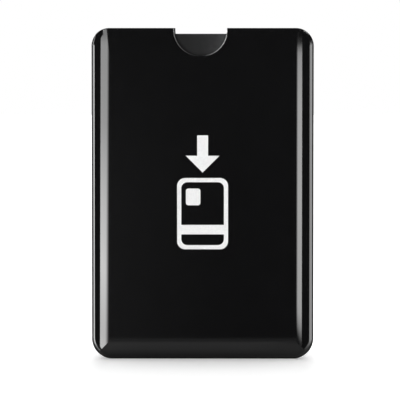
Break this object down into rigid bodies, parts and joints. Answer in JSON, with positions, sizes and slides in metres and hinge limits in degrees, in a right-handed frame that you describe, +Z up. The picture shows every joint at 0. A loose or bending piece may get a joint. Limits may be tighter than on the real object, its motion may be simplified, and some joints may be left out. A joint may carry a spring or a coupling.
{
  "type": "rfid card sleeve",
  "caption": "Flat upright sleeve of two glossy shielded shells bonded on the sides and bottom, open at a thumb-notched mouth, holding a contactless card that slides out.",
  "frame": {"origin": "middle of the closed bottom edge, midway through the thickness", "axes": "+Z up to the open mouth, -Y out of the front face, +X to the right seen from the front"},
  "size_m": [0.061, 0.0036, 0.091],
  "materials": {
    "cover": "gloss black",
    "print": "white screen print",
    "foil": "bright foil",
    "liner": "fine matte",
    "bond": "heat-sealed film",
    "card_face": "satin dark grey",
    "card_core": "plain sheet",
    "antenna": "etched foil",
    "contacts": "gold plated",
    "stripe": "dark oxide"
  },
  "bodies": {
    "sleeve": {"front_cover": "cover", "front_shield_foil": "foil", "front_liner": "liner", "back_cover": "cover", "back_shield_foil": "foil", "back_liner": "liner", "left_seam_bond": "bond", "right_seam_bond": "bond", "bottom_seam_bond": "bond"},
    "card": {"card_front_sheet": "card_face", "card_inlay": "card_core", "card_antenna": "antenna", "card_antenna_bridge": "antenna", "card_chip_module": "contacts", "card_back_sheet": "card_face", "card_magnetic_stripe": "stripe"}
  },
  "joints": [
    {"name": "card_slide", "type": "slide", "parent": "sleeve", "child": "card", "axis": [0, 0, 1], "range_m": [0, 0.075]}
  ]
}
